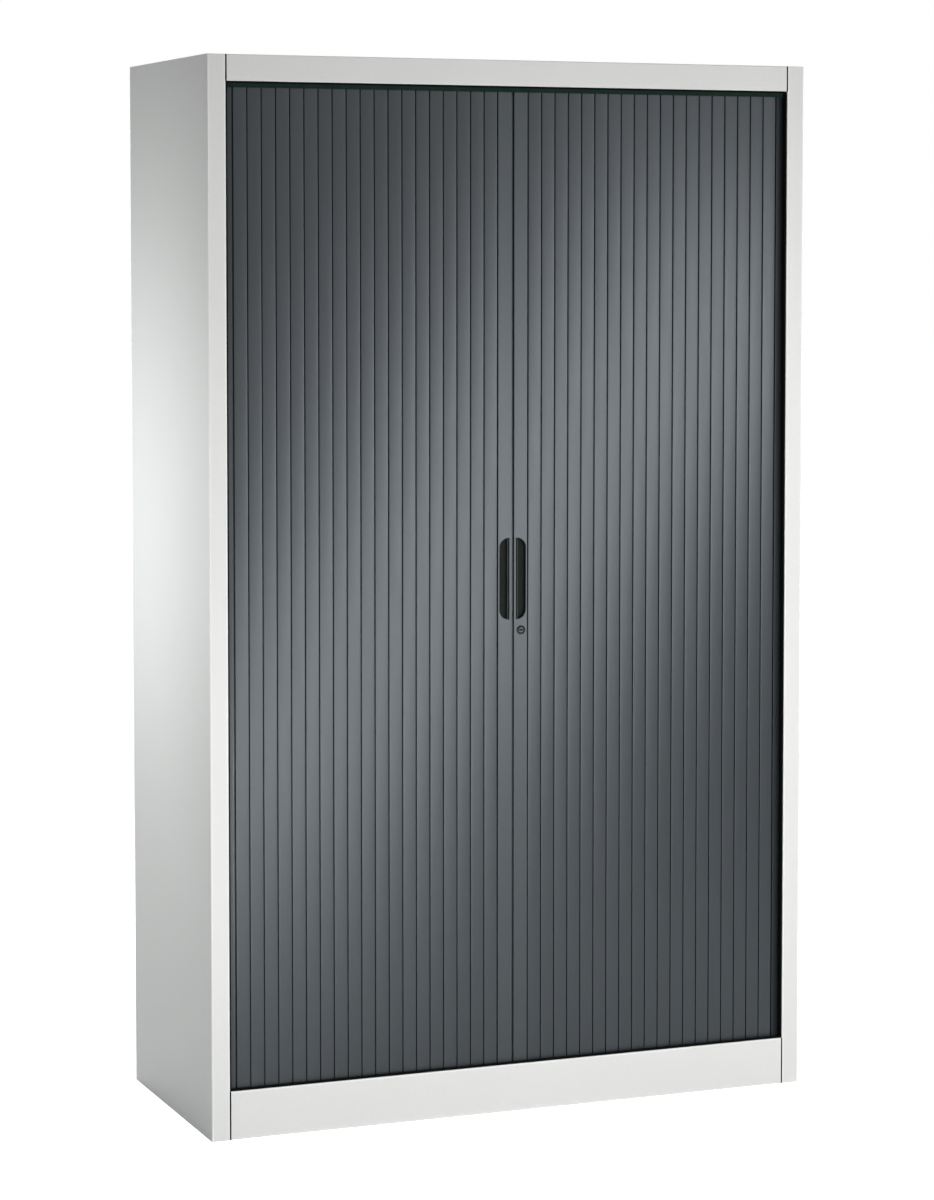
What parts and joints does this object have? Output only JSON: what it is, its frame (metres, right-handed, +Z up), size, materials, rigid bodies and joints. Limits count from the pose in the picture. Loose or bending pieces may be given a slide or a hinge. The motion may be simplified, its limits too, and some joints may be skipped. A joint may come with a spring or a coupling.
{
  "type": "tambour door cabinet",
  "caption": "Tall sheet-steel storage cabinet whose two slatted shutters slide sideways round the front corners into side pockets, with shelves, lock and levelling feet.",
  "frame": {"origin": "middle of the footprint, on the ground", "axes": "+Z up, +Y from the front to the back, +X to the right as seen from the front"},
  "size_m": [1.2, 0.5, 1.98],
  "materials": {
    "coat": "fine-textured light grey powder coat",
    "slat": "satin anthracite plastic",
    "bar": "satin anthracite coat",
    "black": "black moulded plastic",
    "track": "dark extruded plastic",
    "chrome": "polished chrome",
    "zinc": "zinc plated",
    "rubber": "black foot plastic"
  },
  "bodies": {
    "root": {"left_side_panel": "coat", "right_side_panel": "coat", "top_panel": "coat", "ceiling_panel": "coat", "floor_panel": "coat", "plinth_panel": "coat", "back_panel": "coat", "left_pocket_liner": "coat", "right_pocket_liner": "coat", "left_lower_track": "track", "left_upper_track": "track", "right_lower_track": "track", "right_upper_track": "track", "shelf_1": "coat", "shelf_2": "coat", "shelf_3": "coat", "shelf_4": "coat", "shelf_1_front_left_clip": "zinc", "shelf_1_front_right_clip": "zinc", "shelf_1_rear_left_clip": "zinc", "shelf_1_rear_right_clip": "zinc", "shelf_2_front_left_clip": "zinc", "shelf_2_front_right_clip": "zinc", "shelf_2_rear_left_clip": "zinc", "shelf_2_rear_right_clip": "zinc", "shelf_3_front_left_clip": "zinc", "shelf_3_front_right_clip": "zinc", "shelf_3_rear_left_clip": "zinc", "shelf_3_rear_right_clip": "zinc", "shelf_4_front_left_clip": "zinc", "shelf_4_front_right_clip": "zinc", "shelf_4_rear_left_clip": "zinc", "shelf_4_rear_right_clip": "zinc", "front_left_foot_bracket": "zinc", "front_right_foot_bracket": "zinc", "rear_left_foot_bracket": "zinc", "rear_right_foot_bracket": "zinc"},
    "left_shutter": {"left_lead_bar": "bar", "left_finger_pull": "black", "left_slats_1": "slat", "left_slats_2": "slat", "left_slats_3": "slat", "left_slats_4": "slat", "left_slats_5": "slat", "lock_strike": "zinc"},
    "right_shutter": {"right_lead_bar": "bar", "right_finger_pull": "black", "right_slats_1": "slat", "right_slats_2": "slat", "right_slats_3": "slat", "right_slats_4": "slat", "right_slats_5": "slat", "lock_barrel": "chrome"},
    "lock_cylinder": {"lock_plug": "chrome", "lock_hook": "zinc"},
    "front_left_foot_body": {"front_left_foot": "rubber"},
    "front_right_foot_body": {"front_right_foot": "rubber"},
    "rear_left_foot_body": {"rear_left_foot": "rubber"},
    "rear_right_foot_body": {"rear_right_foot": "rubber"}
  },
  "joints": [
    {"name": "left_shutter_slide", "type": "slide", "parent": "root", "child": "left_shutter", "axis": [-1, 0, 0], "range_m": [0, 0.517], "deforming": ["left_slats_1", "left_slats_2", "left_slats_3", "left_slats_4", "left_slats_5"]},
    {"name": "right_shutter_slide", "type": "slide", "parent": "root", "child": "right_shutter", "axis": [1, 0, 0], "range_m": [0, 0.517], "deforming": ["right_slats_1", "right_slats_2", "right_slats_3", "right_slats_4", "right_slats_5"]},
    {"name": "lock_turn", "type": "hinge", "parent": "right_shutter", "child": "lock_cylinder", "pos_m": [0.0169, -0.235, 0.914], "axis": [0, 1, 0], "range_deg": [0, 90]},
    {"name": "front_left_foot_height", "type": "slide", "parent": "root", "child": "front_left_foot_body", "axis": [0, 0, -1], "range_m": [0, 0.015]},
    {"name": "front_right_foot_height", "type": "slide", "parent": "root", "child": "front_right_foot_body", "axis": [0, 0, -1], "range_m": [0, 0.015]},
    {"name": "rear_left_foot_height", "type": "slide", "parent": "root", "child": "rear_left_foot_body", "axis": [0, 0, -1], "range_m": [0, 0.015]},
    {"name": "rear_right_foot_height", "type": "slide", "parent": "root", "child": "rear_right_foot_body", "axis": [0, 0, -1], "range_m": [0, 0.015]}
  ]
}
